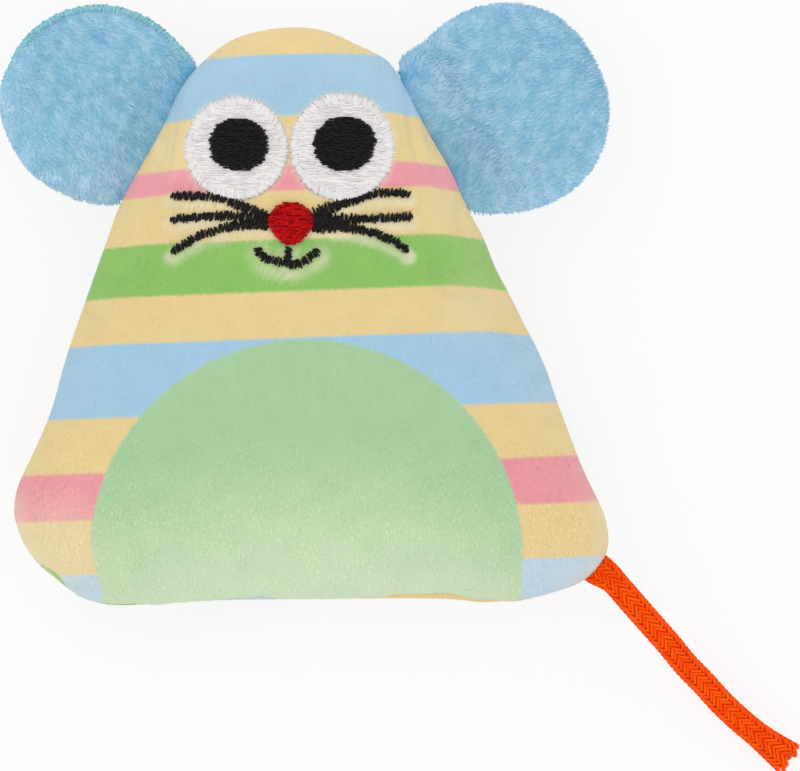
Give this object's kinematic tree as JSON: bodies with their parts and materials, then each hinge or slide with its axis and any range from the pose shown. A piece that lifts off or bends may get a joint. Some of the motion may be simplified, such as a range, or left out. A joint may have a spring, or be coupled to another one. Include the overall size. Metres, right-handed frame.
{
  "type": "catnip mouse cat toy",
  "caption": "Small stuffed cat toy shaped as a rounded triangular mouse, with folding plush ears, an embroidered face and a swinging cord tail.",
  "frame": {"origin": "on the surface the toy lies on, under the middle of its box without the tail cord", "axes": "+Z out of the embroidered face, +Y from the base to the crown, +X to the right of the face as the picture shows it"},
  "size_m": [0.1337, 0.1286, 0.0356],
  "materials": {
    "printed_velboa": "matte",
    "blue_plush": "matte",
    "teal_thread": "matte",
    "white_embroidery": "satin",
    "black_embroidery": "satin",
    "red_embroidery": "satin",
    "sewing_thread": "matte",
    "orange_cord": "satin",
    "polyester_fibre": "matte",
    "non_woven": "matte",
    "sachet_cloth": "matte"
  },
  "bodies": {
    "torso": {"front_panel": "printed_velboa", "back_panel": "printed_velboa", "fibre_filling": "polyester_fibre", "catnip_sachet": "sachet_cloth", "embroidery_backing": "non_woven", "seam_needle_thread": "sewing_thread", "seam_bobbin_thread": "sewing_thread", "closing_stitch": "sewing_thread", "nose": "red_embroidery", "mouth": "black_embroidery", "eye_white_left": "white_embroidery", "eye_white_right": "white_embroidery", "pupil_left": "black_embroidery", "pupil_right": "black_embroidery", "whisker_left_upper": "black_embroidery", "whisker_left_middle": "black_embroidery", "whisker_left_lower": "black_embroidery", "whisker_right_upper": "black_embroidery", "whisker_right_middle": "black_embroidery", "whisker_right_lower": "black_embroidery", "ear_left_tab": "blue_plush", "ear_right_tab": "blue_plush", "tail_anchor": "orange_cord"},
    "ear_left": {"ear_left_front": "blue_plush", "ear_left_back": "blue_plush", "ear_left_overlock": "teal_thread"},
    "ear_right": {"ear_right_front": "blue_plush", "ear_right_back": "blue_plush", "ear_right_overlock": "teal_thread"},
    "tail": {"tail_cord": "orange_cord"}
  },
  "joints": [
    {"name": "ear_left_fold", "type": "hinge", "parent": "torso", "child": "ear_left", "pos_m": [-0.02641, 0.02844, 0.015], "axis": [0.4852, 0.8744, 0], "range_deg": [-25, 90], "stiffness_Nm_per_rad": 0.002},
    {"name": "ear_right_fold", "type": "hinge", "parent": "torso", "child": "ear_right", "pos_m": [0.02381, 0.027, 0.015], "axis": [0.489, -0.8723, 0], "range_deg": [-25, 90], "stiffness_Nm_per_rad": 0.002},
    {"name": "tail_swing", "type": "hinge", "parent": "torso", "child": "tail", "pos_m": [0.05079, -0.046, 0.015], "axis": [0, 0, 1], "range_deg": [-50, 70], "stiffness_Nm_per_rad": 0.0005}
  ]
}
